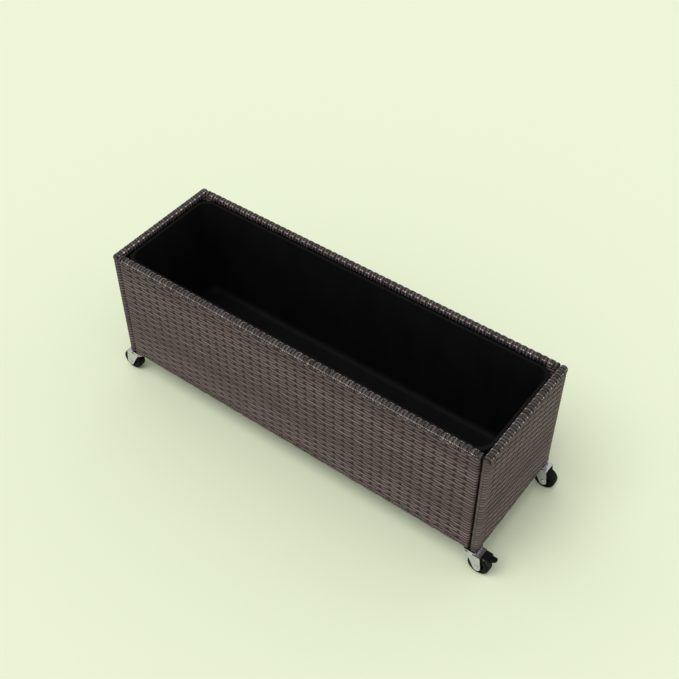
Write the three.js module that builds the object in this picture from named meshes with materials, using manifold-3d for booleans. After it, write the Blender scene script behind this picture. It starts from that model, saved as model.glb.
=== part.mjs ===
// Rolling planter: four woven panels on tube frames, bolted into a box with a sheet deck,
// a lift-out liner, and four swivel casters, two of them with a brake pedal.
// Millimetres, +Z up. The origin is on the floor, under the middle of the planter.
// Inside this file X runs from the left end, Y from the front face and Z from the floor.
import * as THREE from 'three';
import { mergeVertices } from 'three/addons/utils/BufferGeometryUtils.js';
import Module from 'manifold-3d';

const wasm = await Module();
wasm.setup();

// ---- Driving dimensions ----
const PLANTER_LENGTH = 965;
const PLANTER_WIDTH = 304;
const PANEL_HEIGHT = 298;
const CASTER_HEIGHT = 65.5;
const CLEARANCE = 0.3;

// Panels: a tube frame with wrapped edges and a woven field.
const TUBE_RADIUS = 8;
const TUBE_WALL = 1.5;
const TUBE_SIDES = 12;
const WRAP_WALL = 1.2;
const SKIN_WALL = 4;
const PANEL_CORNER_RADIUS = 10;
const WRAP_LIP = 1.8;
const PANEL_THICKNESS = 2 * (TUBE_RADIUS + CLEARANCE + WRAP_WALL);
const TUBE_INSET = PANEL_THICKNESS / 2;
const EDGE_FLAT = 0.6;
const LONG_END_ROUNDING = 5;

// Bolts that join the panels at each corner.
const BOLT_RADIUS = 3;
const BOLT_HEAD_RADIUS = 5;
const BOLT_HEAD_HEIGHT = 4;
const BOLT_HEIGHTS = [56, 242];

// Deck sheet that lies on the bottom tubes, with flat bars under it. Its drain holes stand
// apart from the liner's, so water runs along the sheet before it drops.
const DECK_WALL = 3;
const BAR_WIDTH = 25;
const BAR_WALL = 3;
const BAR_SPACING = 320;
const DRAIN_SPACING_Y = 120;
const DECK_DRAIN_RADIUS = 10;
const DECK_DRAIN_SPACING_X = 420;

// Liner.
const LINER_WALL = 2.4;
const LINER_GAP = 1.5;
const LINER_DROP = 12;
const LINER_LIP = 5;
const LINER_DRAFT = 6;
const LINER_CORNER_RADIUS = 24;
const LINER_FLOOR_RADIUS = 18;
const LINER_CORNER_STEPS = 5;
const LINER_DRAIN_RADIUS = 6;
const LINER_DRAIN_SPACING_X = 520;

// Casters. Their own frame has X along the trail, from the swivel axis to the wheel.
const CASTER_INSET = 15.3;
const CASTER_TRAIL = 19.5;
const PLATE_SIZE = 30;
const PLATE_WALL = 2.5;
const PLATE_CORNER_RADIUS = 3;
const PLATE_HOLE_SPACING = 23;
const PLATE_HOLE_RADIUS = 1.6;
const KINGPIN_RADIUS = 4;
const KINGPIN_HEAD_RADIUS = 7;
const KINGPIN_HEAD_HEIGHT = 2.5;
const CUP_RADIUS = 14.5;
const CUP_WALL = 1.2;
const CUP_HEIGHT = 4.2;
const CAGE_RADIUS = 12.9;
const CAGE_INNER_RADIUS = 9;
const CAGE_HEIGHT = 1.6;
const WHEEL_RADIUS = 25;
const TYRE_WIDTH = 21;
const TYRE_SHOULDER = 3;
const TYRE_WALL = 8;
const TYRE_SEGMENTS = 24;
const HUB_WIDTH = 18;
const HUB_RIM_WALL = 3;
const HUB_WEB_WALL = 5;
const HUB_BOSS_RADIUS = 6;
const HUB_SEGMENTS = 20;
const AXLE_RADIUS = 3;
const AXLE_HEAD_RADIUS = 5;
const AXLE_HEAD_HEIGHT = 1.6;
const FORK_WALL = 2;
const FORK_INNER_WIDTH = 26;
const FORK_NOSE_RADIUS = 17.5;
const FORK_TOP_OVERHANG = 5;
const FORK_LEG_REACH = 9.3;
const FORK_LEG_DROP = 11.5;
const FORK_LEG_BEND = 3;

// Brake pedal, on a pin through an eye behind the fork.
const EYE_REACH = 12;
const EYE_DROP = 0.5;
const EYE_RADIUS = 3.5;
const EYE_WIDTH = 9;
const BRAKE_PIN_RADIUS = 1.6;
const PEDAL_WIDTH = 22;
const TONGUE_WIDTH = 12;
const TONGUE_REACH = 25;
const TONGUE_RISE = 8.4;
const TONGUE_WALL = 3.8;
const JAW_REACH = 17;
const JAW_WALL = 2.5;
const JAW_SLOT = 2;
const JAW_ROOT_DROP = 12;
const SHOE_GAP = 4;
const SHOE_WALL = 5;
const SHOE_TOP_ANGLE = 70;
const SHOE_BOTTOM_ANGLE = 36;

// ---- Heights worked out from the driving dimensions ----
const LONG_LENGTH = PLANTER_LENGTH - 2 * PANEL_THICKNESS - 2 * CLEARANCE;
const END_LENGTH = PLANTER_WIDTH;
const RIM_Z = CASTER_HEIGHT + PANEL_HEIGHT;
const DECK_Z = CASTER_HEIGHT + TUBE_INSET + TUBE_RADIUS + CLEARANCE;
const LINER_Z = DECK_Z + DECK_WALL + CLEARANCE;
const POCKET_INSET = TUBE_INSET + TUBE_RADIUS + CLEARANCE - WRAP_LIP;
const PLATE_TOP = CASTER_HEIGHT - CLEARANCE;
const PLATE_BOTTOM = PLATE_TOP - PLATE_WALL;
const CUP_TOP = PLATE_BOTTOM - CLEARANCE;
const CUP_BOTTOM = CUP_TOP - CUP_HEIGHT;
const FORK_TOP = CUP_BOTTOM - CLEARANCE;
const FORK_UNDER = FORK_TOP - FORK_WALL;
const FORK_OUTER_WIDTH = FORK_INNER_WIDTH + 2 * FORK_WALL;
const FORK_REAR = CASTER_TRAIL + FORK_TOP_OVERHANG;
const EYE_X = CASTER_TRAIL + EYE_REACH;
const EYE_Z = FORK_UNDER - EYE_DROP;

// ---- Materials ----
function finish(color, roughness, metalness = 0) {
  return new THREE.MeshStandardMaterial({ color, roughness, metalness });
}
const wicker = finish(0x5b5250, 0.65);
const frameBlack = finish(0x1c1b1b, 0.5, 0.4);
const sheetBlack = finish(0x202020, 0.6, 0.3);
const linerBlack = finish(0x0e0e0f, 0.45);
const zincPlate = finish(0xc9c8c4, 0.3, 0.9);
const boltSteel = finish(0x8d8d8d, 0.4, 0.9);
const tyreBlack = finish(0x0c0c0c, 0.6);
const hubBlack = finish(0x1a1a1a, 0.5);
const pedalBlack = finish(0x101011, 0.4);

// ---- Solids: joins, cuts and overlaps ----
function toSolid(geometry) {
  const bare = geometry.clone();
  bare.deleteAttribute('normal');
  bare.deleteAttribute('uv');
  const merged = mergeVertices(bare, 1e-4);
  const vertProperties = new Float32Array(merged.attributes.position.array);
  const triVerts = new Uint32Array(merged.index.array);
  return new wasm.Manifold(new wasm.Mesh({ numProp: 3, vertProperties, triVerts }));
}

function toGeometry(solid) {
  const mesh = solid.getMesh();
  const geometry = new THREE.BufferGeometry();
  geometry.setAttribute('position', new THREE.BufferAttribute(mesh.vertProperties, 3));
  geometry.setIndex(new THREE.BufferAttribute(mesh.triVerts, 1));
  return geometry;
}

function join(geometries) {
  return toGeometry(geometries.map(toSolid).reduce((whole, next) => whole.add(next)));
}

function cut(geometry, tools) {
  return toGeometry(tools.map(toSolid).reduce((left, tool) => left.subtract(tool), toSolid(geometry)));
}

function overlap(first, second) {
  return toGeometry(toSolid(first).intersect(toSolid(second)));
}

// ---- Basic shapes ----
function roundedRectangle(x, y, width, height, radius) {
  const shape = new THREE.Shape();
  shape.moveTo(x + radius, y);
  shape.lineTo(x + width - radius, y);
  shape.absarc(x + width - radius, y + radius, radius, -Math.PI / 2, 0);
  shape.lineTo(x + width, y + height - radius);
  shape.absarc(x + width - radius, y + height - radius, radius, 0, Math.PI / 2);
  shape.lineTo(x + radius, y + height);
  shape.absarc(x + radius, y + height - radius, radius, Math.PI / 2, Math.PI);
  shape.lineTo(x, y + radius);
  shape.absarc(x + radius, y + radius, radius, Math.PI, 1.5 * Math.PI);
  return shape;
}

function circleHole(x, y, radius, segments = 10) {
  const points = [];
  for (let i = 0; i < segments; i += 1) {
    const angle = (-2 * Math.PI * i) / segments;
    points.push(new THREE.Vector2(x + radius * Math.cos(angle), y + radius * Math.sin(angle)));
  }
  return new THREE.Path(points);
}

function extrudeUp(shape, bottom, height, curveSegments = 4) {
  const options = { depth: height, bevelEnabled: false, curveSegments };
  return new THREE.ExtrudeGeometry(shape, options).translate(0, 0, bottom);
}

// A side profile drawn in X and Z, given a width along Y about y = 0.
function extrudeAcross(shape, width, centreY = 0, curveSegments = 6) {
  const options = { depth: width, bevelEnabled: false, curveSegments };
  return new THREE.ExtrudeGeometry(shape, options)
    .rotateX(Math.PI / 2)
    .translate(0, centreY + width / 2, 0);
}

function box(x0, x1, y0, y1, z0, z1) {
  return new THREE.BoxGeometry(x1 - x0, y1 - y0, z1 - z0)
    .translate((x0 + x1) / 2, (y0 + y1) / 2, (z0 + z1) / 2);
}

function rodX(radius, x0, x1, y, z, sides = TUBE_SIDES) {
  return new THREE.CylinderGeometry(radius, radius, x1 - x0, sides)
    .rotateZ(-Math.PI / 2)
    .translate((x0 + x1) / 2, y, z);
}

function rodY(radius, y0, y1, x, z, sides = TUBE_SIDES) {
  return new THREE.CylinderGeometry(radius, radius, y1 - y0, sides)
    .translate(x, (y0 + y1) / 2, z);
}

function rodZ(radius, z0, z1, x, y, sides = TUBE_SIDES) {
  return new THREE.CylinderGeometry(radius, radius, z1 - z0, sides)
    .rotateX(Math.PI / 2)
    .translate(x, y, (z0 + z1) / 2);
}

// A turned piece on the Z axis from [radius, z] pairs that run round its section.
function turned(profile, segments) {
  const points = profile.map(([radius, z]) => new THREE.Vector2(radius, z));
  points.push(points[0].clone());
  return new THREE.LatheGeometry(points, segments).rotateX(Math.PI / 2);
}

// The same piece with its axis along Y, as a wheel has, with a facet and not a corner at the bottom.
function turnedWheel(profile, segments) {
  const points = profile.map(([radius, y]) => new THREE.Vector2(radius, y));
  points.push(points[0].clone());
  return new THREE.LatheGeometry(points, segments, Math.PI / segments)
    .translate(CASTER_TRAIL, 0, WHEEL_RADIUS);
}

// ---- Panels: own frame has X along the panel, the outer face at y = 0, Z up ----
function tubeRing(length, radius) {
  const near = TUBE_INSET;
  const far = length - TUBE_INSET;
  const top = PANEL_HEIGHT - TUBE_INSET;
  const y = TUBE_INSET;
  const pieces = [
    rodX(radius, near, far, y, near),
    rodX(radius, near, far, y, top),
    rodZ(radius, near, top, near, y),
    rodZ(radius, near, top, far, y),
  ];
  for (const x of [near, far]) {
    for (const z of [near, top]) {
      pieces.push(new THREE.SphereGeometry(radius, TUBE_SIDES, TUBE_SIDES / 2).translate(x, y, z));
    }
  }
  return join(pieces);
}

// Long panels are drilled along their length, end panels through their inner face.
function boltHoles(length, isEnd) {
  const radius = BOLT_RADIUS + CLEARANCE;
  const throughPost = TUBE_INSET + TUBE_RADIUS + WRAP_LIP;
  const holes = [];
  for (const z of BOLT_HEIGHTS) {
    if (isEnd) {
      holes.push(rodY(radius, TUBE_INSET, PANEL_THICKNESS + 1, TUBE_INSET, z));
      holes.push(rodY(radius, TUBE_INSET, PANEL_THICKNESS + 1, length - TUBE_INSET, z));
    } else {
      holes.push(rodX(radius, -1, throughPost, TUBE_INSET, z));
      holes.push(rodX(radius, length - throughPost, length + 1, TUBE_INSET, z));
    }
  }
  return holes;
}

function tubeFrame(length, isEnd) {
  const bore = tubeRing(length, TUBE_RADIUS - TUBE_WALL);
  return cut(tubeRing(length, TUBE_RADIUS), [bore, ...boltHoles(length, isEnd)]);
}

// An end panel's slab is round along all four of its edges.
function endSlab(length) {
  const bevel = (PANEL_THICKNESS - EDGE_FLAT) / 2;
  const outline = roundedRectangle(
    bevel, bevel, length - 2 * bevel, PANEL_HEIGHT - 2 * bevel, PANEL_CORNER_RADIUS - bevel,
  );
  return new THREE.ExtrudeGeometry(outline, {
    depth: EDGE_FLAT,
    bevelThickness: bevel,
    bevelSize: bevel,
    bevelSegments: 4,
    curveSegments: 3,
  }).rotateX(Math.PI / 2).translate(0, PANEL_THICKNESS - bevel, 0);
}

// A long panel's slab is fully round at the top and bottom, and has squarer ends.
function longSlab(length) {
  const bevel = LONG_END_ROUNDING;
  const width = PANEL_THICKNESS - 2 * bevel;
  const section = roundedRectangle(
    bevel, bevel, width, PANEL_HEIGHT - 2 * bevel, width / 2 - EDGE_FLAT / 2,
  );
  return new THREE.ExtrudeGeometry(section, {
    depth: length - 2 * bevel,
    bevelThickness: bevel,
    bevelSize: bevel,
    bevelSegments: 3,
    curveSegments: 4,
  }).rotateX(Math.PI / 2).rotateZ(Math.PI / 2).translate(bevel, 0, 0);
}

// Strands wound round all four tubes, open towards the middle of the panel.
function edgeWrap(length, isEnd) {
  const slab = isEnd ? endSlab(length) : longSlab(length);
  const window = box(
    POCKET_INSET, length - POCKET_INSET,
    -1, PANEL_THICKNESS + 1,
    POCKET_INSET, PANEL_HEIGHT - POCKET_INSET,
  );
  const groove = tubeRing(length, TUBE_RADIUS + CLEARANCE);
  return cut(slab, [window, groove, ...boltHoles(length, isEnd)]);
}

// The woven field is a thin sheet in the window of the edge wrap, flush with its outer face.
function wovenField(length) {
  const inset = POCKET_INSET + CLEARANCE;
  return box(inset, length - inset, 0, SKIN_WALL, inset, PANEL_HEIGHT - inset);
}

// Headed inside the long panel's pocket, tip inside the end panel's post; X from the planter's end.
function panelBolt() {
  const tip = TUBE_INSET;
  const underHead = PANEL_THICKNESS + CLEARANCE + TUBE_INSET + TUBE_RADIUS + CLEARANCE;
  const chamfer = BOLT_RADIUS / 3;
  const profile = [
    [0, tip],
    [BOLT_RADIUS - chamfer, tip],
    [BOLT_RADIUS, tip + chamfer],
    [BOLT_RADIUS, underHead],
    [BOLT_HEAD_RADIUS, underHead],
    [BOLT_HEAD_RADIUS, underHead + BOLT_HEAD_HEIGHT - chamfer],
    [BOLT_HEAD_RADIUS - chamfer, underHead + BOLT_HEAD_HEIGHT],
    [0, underHead + BOLT_HEAD_HEIGHT],
  ];
  const points = profile.map(([radius, x]) => new THREE.Vector2(radius, x));
  return new THREE.LatheGeometry(points, TUBE_SIDES).rotateZ(-Math.PI / 2);
}

// ---- Deck and bars ----
function drainCentres(spacingX) {
  const centres = [];
  for (const sideX of [-1, 1]) {
    for (const sideY of [-1, 1]) {
      const x = PLANTER_LENGTH / 2 + (sideX * spacingX) / 2;
      const y = PLANTER_WIDTH / 2 + (sideY * DRAIN_SPACING_Y) / 2;
      centres.push([x, y]);
    }
  }
  return centres;
}

// The sheet reaches over all four bottom tubes into the panels' pockets, past notched corners.
function deckSheet() {
  const skinX = SKIN_WALL + CLEARANCE;
  const notchX = PANEL_THICKNESS + CLEARANCE + TUBE_INSET + TUBE_RADIUS + WRAP_LIP;
  const notchY = PANEL_THICKNESS + CLEARANCE;
  const tabY = TUBE_INSET + TUBE_RADIUS + WRAP_LIP;
  const quarter = [
    [skinX, tabY],
    [notchY, tabY],
    [notchY, notchY],
    [notchX, notchY],
    [notchX, skinX],
  ];
  const mirrorX = ([x, y]) => [PLANTER_LENGTH - x, y];
  const mirrorY = ([x, y]) => [x, PLANTER_WIDTH - y];
  const corners = [
    ...quarter,
    ...quarter.map(mirrorX).reverse(),
    ...quarter.map(mirrorX).map(mirrorY),
    ...quarter.map(mirrorY).reverse(),
  ];
  const sheet = new THREE.Shape(corners.map(([x, y]) => new THREE.Vector2(x, y)));
  for (const [x, y] of drainCentres(DECK_DRAIN_SPACING_X)) {
    sheet.holes.push(circleHole(x, y, DECK_DRAIN_RADIUS, 12));
  }
  return extrudeUp(sheet, DECK_Z, DECK_WALL);
}

function deckBar() {
  const end = PANEL_THICKNESS + CLEARANCE;
  const top = DECK_Z - CLEARANCE;
  return box(-BAR_WIDTH / 2, BAR_WIDTH / 2, end, PLANTER_WIDTH - end, top - BAR_WALL, top);
}

// ---- Liner ----
// One level ring of points of a rectangle with round corners about the planter's middle.
function ringPoints(inset, z) {
  const outer = PANEL_THICKNESS + LINER_GAP + inset;
  const halfX = PLANTER_LENGTH / 2 - outer;
  const halfY = PLANTER_WIDTH / 2 - outer;
  const radius = LINER_CORNER_RADIUS - Math.min(inset, LINER_CORNER_RADIUS / 2);
  const centres = [[1, 1], [-1, 1], [-1, -1], [1, -1]];
  const points = [];
  centres.forEach(([signX, signY], corner) => {
    for (let step = 0; step <= LINER_CORNER_STEPS; step += 1) {
      const angle = ((corner + step / LINER_CORNER_STEPS) * Math.PI) / 2;
      points.push(new THREE.Vector3(
        PLANTER_LENGTH / 2 + signX * (halfX - radius) + radius * Math.cos(angle),
        PLANTER_WIDTH / 2 + signY * (halfY - radius) + radius * Math.sin(angle),
        z,
      ));
    }
  });
  return points;
}

// Rings joined in order, with the first and last closed by flat faces.
function loft(rings) {
  const count = rings[0].length;
  const positions = rings.flat().flatMap((point) => [point.x, point.y, point.z]);
  const index = [];
  for (let ring = 0; ring + 1 < rings.length; ring += 1) {
    for (let i = 0; i < count; i += 1) {
      const a = ring * count + i;
      const b = ring * count + ((i + 1) % count);
      index.push(a, b, b + count, a, b + count, a + count);
    }
  }
  const last = (rings.length - 1) * count;
  for (let i = 1; i + 1 < count; i += 1) {
    index.push(0, i + 1, i);
    index.push(last, last + i, last + i + 1);
  }
  const geometry = new THREE.BufferGeometry();
  geometry.setAttribute('position', new THREE.Float32BufferAttribute(positions, 3));
  geometry.setIndex(index);
  return geometry;
}

function linerTub() {
  const top = RIM_Z - LINER_DROP;
  const wallTop = LINER_LIP;
  const foot = LINER_LIP + LINER_DRAFT;
  const floor = LINER_Z + LINER_WALL;
  const outerFillet = LINER_FLOOR_RADIUS;
  const innerFillet = LINER_FLOOR_RADIUS - LINER_WALL;
  const halfway = 1 - Math.SQRT1_2;
  const rings = [
    ringPoints(foot + outerFillet, LINER_Z),
    ringPoints(foot + outerFillet * halfway, LINER_Z + outerFillet * halfway),
    ringPoints(foot, LINER_Z + outerFillet),
    ringPoints(wallTop, top - LINER_WALL),
    ringPoints(0, top - LINER_WALL),
    ringPoints(0, top),
    ringPoints(wallTop + LINER_WALL, top),
    ringPoints(foot + LINER_WALL, floor + innerFillet),
    ringPoints(foot + LINER_WALL + innerFillet * halfway, floor + innerFillet * halfway),
    ringPoints(foot + LINER_WALL + innerFillet, floor),
  ];
  const drains = drainCentres(LINER_DRAIN_SPACING_X)
    .map(([x, y]) => rodZ(LINER_DRAIN_RADIUS, LINER_Z - 1, floor + 1, x, y));
  return cut(loft(rings), drains);
}

// ---- Casters ----
function topPlate() {
  const half = PLATE_SIZE / 2;
  const plate = roundedRectangle(-half, -half, PLATE_SIZE, PLATE_SIZE, PLATE_CORNER_RADIUS);
  const hole = PLATE_HOLE_SPACING / 2;
  for (const [x, y] of [[-hole, -hole], [hole, -hole], [hole, hole], [-hole, hole]]) {
    plate.holes.push(circleHole(x, y, PLATE_HOLE_RADIUS, 8));
  }
  plate.holes.push(circleHole(0, 0, KINGPIN_RADIUS + CLEARANCE, 12));
  return extrudeUp(plate, PLATE_BOTTOM, PLATE_WALL, 3);
}

function kingpin() {
  const headBottom = FORK_UNDER - CLEARANCE - KINGPIN_HEAD_HEIGHT;
  const headTop = FORK_UNDER - CLEARANCE;
  return turned([
    [0, headBottom],
    [KINGPIN_HEAD_RADIUS - 1, headBottom],
    [KINGPIN_HEAD_RADIUS, headTop],
    [KINGPIN_RADIUS, headTop],
    [KINGPIN_RADIUS, PLATE_TOP],
    [0, PLATE_TOP],
  ], 12);
}

function bearingCup() {
  const bore = KINGPIN_RADIUS + CLEARANCE;
  const ceiling = CUP_BOTTOM + CAGE_HEIGHT + CLEARANCE;
  return turned([
    [bore, ceiling],
    [CUP_RADIUS - CUP_WALL, ceiling],
    [CUP_RADIUS - CUP_WALL, CUP_BOTTOM],
    [CUP_RADIUS, CUP_BOTTOM],
    [CUP_RADIUS, ceiling],
    [CUP_RADIUS - 2 * CUP_WALL, CUP_TOP],
    [bore, CUP_TOP],
  ], 18);
}

function ballCage() {
  return turned([
    [CAGE_INNER_RADIUS, CUP_BOTTOM],
    [CAGE_RADIUS, CUP_BOTTOM],
    [CAGE_RADIUS, CUP_BOTTOM + CAGE_HEIGHT],
    [CAGE_INNER_RADIUS, CUP_BOTTOM + CAGE_HEIGHT],
  ], 18);
}

function forkTopShape() {
  const half = FORK_OUTER_WIDTH / 2;
  const start = Math.asin(half / FORK_NOSE_RADIUS);
  const shape = new THREE.Shape();
  shape.moveTo(FORK_REAR, half);
  shape.lineTo(0, half);
  shape.lineTo(-FORK_NOSE_RADIUS * Math.cos(start), half);
  shape.absarc(0, 0, FORK_NOSE_RADIUS, Math.PI - start, Math.PI + start);
  shape.lineTo(FORK_REAR, -half);
  return shape;
}

// The leg slants out to the rear, rounds the axle, and comes back to the nose in a hollow curve.
function forkLegShape() {
  const top = FORK_TOP - FORK_WALL / 2;
  const noseHalf = FORK_OUTER_WIDTH / 2;
  const front = -Math.sqrt(FORK_NOSE_RADIUS ** 2 - noseHalf ** 2);
  const heel = new THREE.EllipseCurve(
    CASTER_TRAIL, WHEEL_RADIUS, FORK_LEG_REACH, FORK_LEG_DROP, 0, (-5 * Math.PI) / 6, true,
  );
  const shape = new THREE.Shape();
  shape.moveTo(FORK_REAR, top);
  for (const point of heel.getPoints(10)) {
    shape.lineTo(point.x, point.y);
  }
  shape.quadraticCurveTo(FORK_LEG_BEND, (WHEEL_RADIUS + FORK_UNDER) / 2 - FORK_LEG_BEND, front, top);
  return shape;
}

function fork(hasBrake) {
  const legOffset = (FORK_INNER_WIDTH + FORK_WALL) / 2;
  const pieces = [
    extrudeUp(forkTopShape(), FORK_UNDER, FORK_WALL, 8),
    extrudeAcross(forkLegShape(), FORK_WALL, -legOffset),
    extrudeAcross(forkLegShape(), FORK_WALL, legOffset),
  ];
  const tools = [
    rodZ(KINGPIN_RADIUS + CLEARANCE, FORK_UNDER - 1, FORK_TOP + 1, 0, 0),
    rodY(AXLE_RADIUS + CLEARANCE, -FORK_OUTER_WIDTH, FORK_OUTER_WIDTH, CASTER_TRAIL, WHEEL_RADIUS),
  ];
  if (hasBrake) {
    pieces.push(box(FORK_REAR - 1, EYE_X, -EYE_WIDTH / 2, EYE_WIDTH / 2, FORK_UNDER, FORK_TOP));
    pieces.push(rodY(EYE_RADIUS, -EYE_WIDTH / 2, EYE_WIDTH / 2, EYE_X, EYE_Z));
    tools.push(rodY(BRAKE_PIN_RADIUS + CLEARANCE, -EYE_WIDTH, EYE_WIDTH, EYE_X, EYE_Z));
  }
  return cut(join(pieces), tools);
}

function axle() {
  const shoulder = FORK_OUTER_WIDTH / 2 + CLEARANCE;
  const end = shoulder + AXLE_HEAD_HEIGHT;
  return turnedWheel([
    [0, -end],
    [AXLE_HEAD_RADIUS - 1.5, -end],
    [AXLE_HEAD_RADIUS, -shoulder],
    [AXLE_RADIUS, -shoulder],
    [AXLE_RADIUS, shoulder],
    [AXLE_HEAD_RADIUS, shoulder],
    [AXLE_HEAD_RADIUS - 1.5, end],
    [0, end],
  ], TUBE_SIDES);
}

function tyre() {
  const half = TYRE_WIDTH / 2;
  const facet = Math.cos(Math.PI / TYRE_SEGMENTS);
  const bore = (WHEEL_RADIUS - TYRE_WALL) / facet;
  const tread = WHEEL_RADIUS / facet;
  const corner = TYRE_SHOULDER * (1 - Math.SQRT1_2);
  return turnedWheel([
    [bore, -half],
    [tread - TYRE_SHOULDER, -half],
    [tread - corner, -half + corner],
    [tread, -half + TYRE_SHOULDER],
    [tread, half - TYRE_SHOULDER],
    [tread - corner, half - corner],
    [tread - TYRE_SHOULDER, half],
    [bore, half],
  ], TYRE_SEGMENTS);
}

function hub() {
  const bore = AXLE_RADIUS + CLEARANCE;
  const rim = WHEEL_RADIUS - TYRE_WALL - CLEARANCE;
  const rimInside = rim - HUB_RIM_WALL;
  const boss = FORK_INNER_WIDTH / 2 - CLEARANCE;
  const halfRim = HUB_WIDTH / 2;
  const halfWeb = HUB_WEB_WALL / 2;
  return turnedWheel([
    [bore, -boss],
    [HUB_BOSS_RADIUS, -boss],
    [HUB_BOSS_RADIUS, -halfWeb],
    [rimInside, -halfWeb],
    [rimInside, -halfRim],
    [rim, -halfRim],
    [rim, halfRim],
    [rimInside, halfRim],
    [rimInside, halfWeb],
    [HUB_BOSS_RADIUS, halfWeb],
    [HUB_BOSS_RADIUS, boss],
    [bore, boss],
  ], HUB_SEGMENTS);
}

// Side profile of the pedal's body: a hood over the eye with the brake shoe's arc round the wheel.
function pedalBodyShape() {
  const inner = WHEEL_RADIUS + SHOE_GAP;
  const outer = inner + SHOE_WALL;
  const top = (SHOE_TOP_ANGLE * Math.PI) / 180;
  const bottom = (SHOE_BOTTOM_ANGLE * Math.PI) / 180;
  const hoodTop = EYE_Z + EYE_RADIUS + FORK_WALL;
  const shape = new THREE.Shape();
  shape.moveTo(FORK_REAR + CLEARANCE, hoodTop - FORK_WALL / 2);
  shape.lineTo(FORK_REAR + CLEARANCE, WHEEL_RADIUS + inner * Math.sin(top));
  shape.absarc(CASTER_TRAIL, WHEEL_RADIUS, inner, top, bottom, true);
  shape.lineTo(CASTER_TRAIL + outer * Math.cos(bottom), WHEEL_RADIUS + outer * Math.sin(bottom));
  shape.lineTo(EYE_X + EYE_RADIUS + SHOE_WALL, hoodTop);
  shape.lineTo(FORK_REAR + CLEARANCE + FORK_WALL, hoodTop);
  return shape;
}

// Side profile of the foot tongue, with a shorter jaw under it past a narrow slot.
function tongueShape() {
  const root = EYE_X + EYE_RADIUS;
  const tip = EYE_X + TONGUE_REACH;
  const jawTip = EYE_X + JAW_REACH;
  const rootTop = EYE_Z + EYE_RADIUS + FORK_WALL;
  const tipTop = EYE_Z + TONGUE_RISE;
  const under = rootTop - TONGUE_WALL;
  const shape = new THREE.Shape();
  shape.moveTo(root, rootTop);
  shape.lineTo(root, rootTop - JAW_ROOT_DROP);
  shape.lineTo(jawTip, under - JAW_SLOT - JAW_WALL);
  shape.lineTo(jawTip, under - JAW_SLOT);
  shape.lineTo(root + TONGUE_WALL, under - JAW_SLOT);
  shape.lineTo(root + TONGUE_WALL, under);
  shape.lineTo(jawTip, under);
  shape.lineTo(tip, tipTop - TONGUE_WALL);
  shape.lineTo(tip, tipTop);
  return shape;
}

// The tongue's plan, round at the tip.
function tonguePlan() {
  const root = EYE_X + EYE_RADIUS;
  const length = TONGUE_REACH - EYE_RADIUS + TONGUE_WIDTH;
  const radius = TONGUE_WIDTH / 2 - EDGE_FLAT;
  return roundedRectangle(root - TONGUE_WIDTH, -TONGUE_WIDTH / 2, length, TONGUE_WIDTH, radius);
}

function brakePedal() {
  const slotWidth = EYE_WIDTH + 2 * CLEARANCE;
  const body = join([
    extrudeAcross(pedalBodyShape(), PEDAL_WIDTH),
    overlap(
      extrudeAcross(tongueShape(), TONGUE_WIDTH),
      extrudeUp(tonguePlan(), WHEEL_RADIUS, CASTER_HEIGHT - WHEEL_RADIUS),
    ),
  ]);
  return cut(body, [
    rodY(EYE_RADIUS + 2 * CLEARANCE, -slotWidth / 2, slotWidth / 2, EYE_X, EYE_Z),
    box(
      FORK_REAR - 1, EYE_X + CLEARANCE, -slotWidth / 2, slotWidth / 2,
      WHEEL_RADIUS, EYE_Z + EYE_RADIUS + 2 * CLEARANCE,
    ),
    rodY(BRAKE_PIN_RADIUS + CLEARANCE, -PEDAL_WIDTH, PEDAL_WIDTH, EYE_X, EYE_Z),
  ]);
}

function brakePin() {
  const half = PEDAL_WIDTH / 2 - CLEARANCE;
  return rodY(BRAKE_PIN_RADIUS, -half, half, EYE_X, EYE_Z, 8);
}

// ---- Assembly ----
function piece(name, geometry, material) {
  const mesh = new THREE.Mesh(geometry, material);
  mesh.name = name;
  return mesh;
}

function panel(name, length, isEnd, x, y, turn) {
  const group = new THREE.Group();
  group.add(piece(`${name}_frame`, tubeFrame(length, isEnd), frameBlack));
  group.add(piece(`${name}_edge_wrap`, edgeWrap(length, isEnd), wicker));
  group.add(piece(`${name}_weave`, wovenField(length), wicker));
  group.position.set(x, y, CASTER_HEIGHT);
  group.rotation.z = turn;
  return group;
}

function cornerBolts(name, isRight, y) {
  const group = new THREE.Group();
  const levels = ['lower', 'upper'];
  BOLT_HEIGHTS.forEach((height, i) => {
    const bolt = piece(`${name}_${levels[i]}_bolt`, panelBolt(), boltSteel);
    bolt.position.z = CASTER_HEIGHT + height;
    group.add(bolt);
  });
  group.position.set(isRight ? PLANTER_LENGTH : 0, y, 0);
  group.rotation.z = isRight ? Math.PI : 0;
  return group;
}

function caster(name, isRight, y, hasBrake) {
  const fixed = new THREE.Group();
  fixed.add(piece(`${name}_caster_plate`, topPlate(), zincPlate));
  fixed.add(piece(`${name}_caster_cup`, bearingCup(), zincPlate));
  fixed.add(piece(`${name}_caster_cage`, ballCage(), boltSteel));
  fixed.add(piece(`${name}_caster_kingpin`, kingpin(), zincPlate));
  const swivel = new THREE.Group();
  swivel.name = `${name}_swivel`;
  swivel.add(piece(`${name}_caster_fork`, fork(hasBrake), zincPlate));
  swivel.add(piece(`${name}_caster_axle`, axle(), zincPlate));
  swivel.add(piece(`${name}_caster_tyre`, tyre(), tyreBlack));
  swivel.add(piece(`${name}_caster_hub`, hub(), hubBlack));
  if (hasBrake) {
    swivel.add(piece(`${name}_brake_pedal`, brakePedal(), pedalBlack));
    swivel.add(piece(`${name}_brake_pin`, brakePin(), boltSteel));
  }
  swivel.rotation.z = isRight ? 0 : Math.PI;
  const group = new THREE.Group();
  group.add(fixed, swivel);
  group.position.set(isRight ? PLANTER_LENGTH - CASTER_INSET : CASTER_INSET, y, 0);
  return group;
}

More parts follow.
